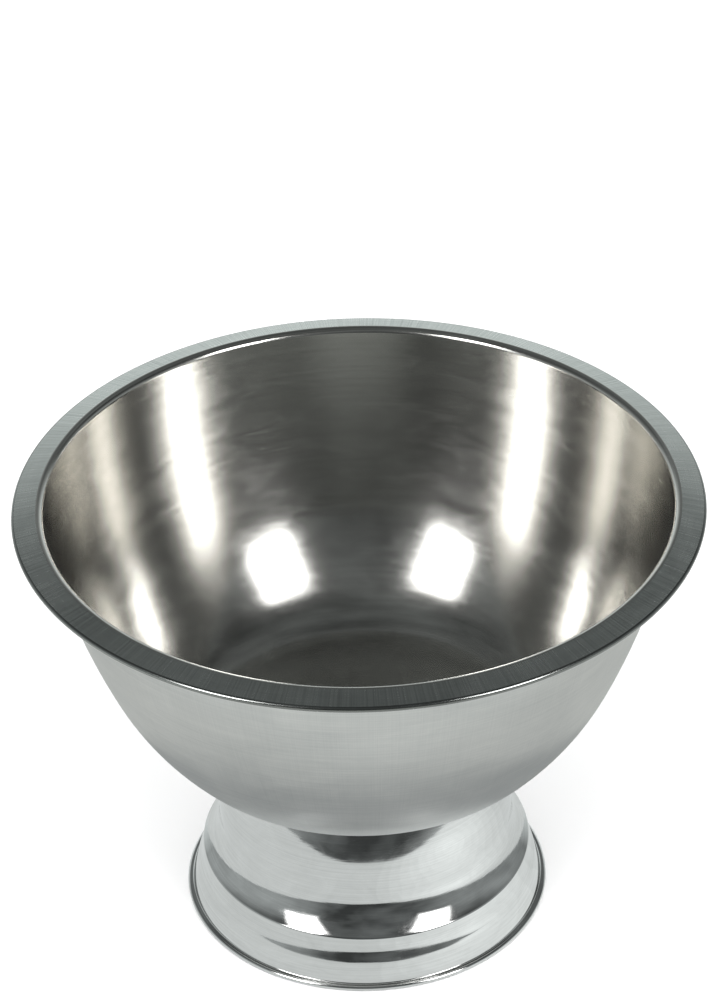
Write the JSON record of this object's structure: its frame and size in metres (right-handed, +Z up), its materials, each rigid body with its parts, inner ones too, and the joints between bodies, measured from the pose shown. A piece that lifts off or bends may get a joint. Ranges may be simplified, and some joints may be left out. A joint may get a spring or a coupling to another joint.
{
  "type": "footed champagne bowl",
  "caption": "Stainless steel champagne bowl on a polished pedestal foot: satin outside, mirror inside, with a sloping rim flange and rolled edges, for chilling bottles in ice.",
  "frame": {"origin": "middle of the ring that the foot stands on", "axes": "+Z up along the axis that the bowl and foot are turned about; the bowl is round, so X and Y are free"},
  "size_m": [0.3749, 0.375, 0.2643],
  "materials": {
    "bowl_steel": "satin spun outside and on the flange, mirror polished inside",
    "foot_steel": "mirror polished stainless steel",
    "edge_wire": "drawn wire",
    "gasket_rubber": "matt black",
    "stud_steel": "plain stainless",
    "fixing_steel": "plain stainless"
  },
  "bodies": {
    "root": {"bowl": "bowl_steel", "rim_edge_wire": "edge_wire", "foot": "foot_steel", "foot_edge_wire": "edge_wire", "seat_gasket": "gasket_rubber", "stud_plate": "stud_steel", "weld_stud": "stud_steel", "clamp_washer": "fixing_steel", "spring_washer": "fixing_steel", "hex_nut": "fixing_steel"}
  },
  "joints": []
}
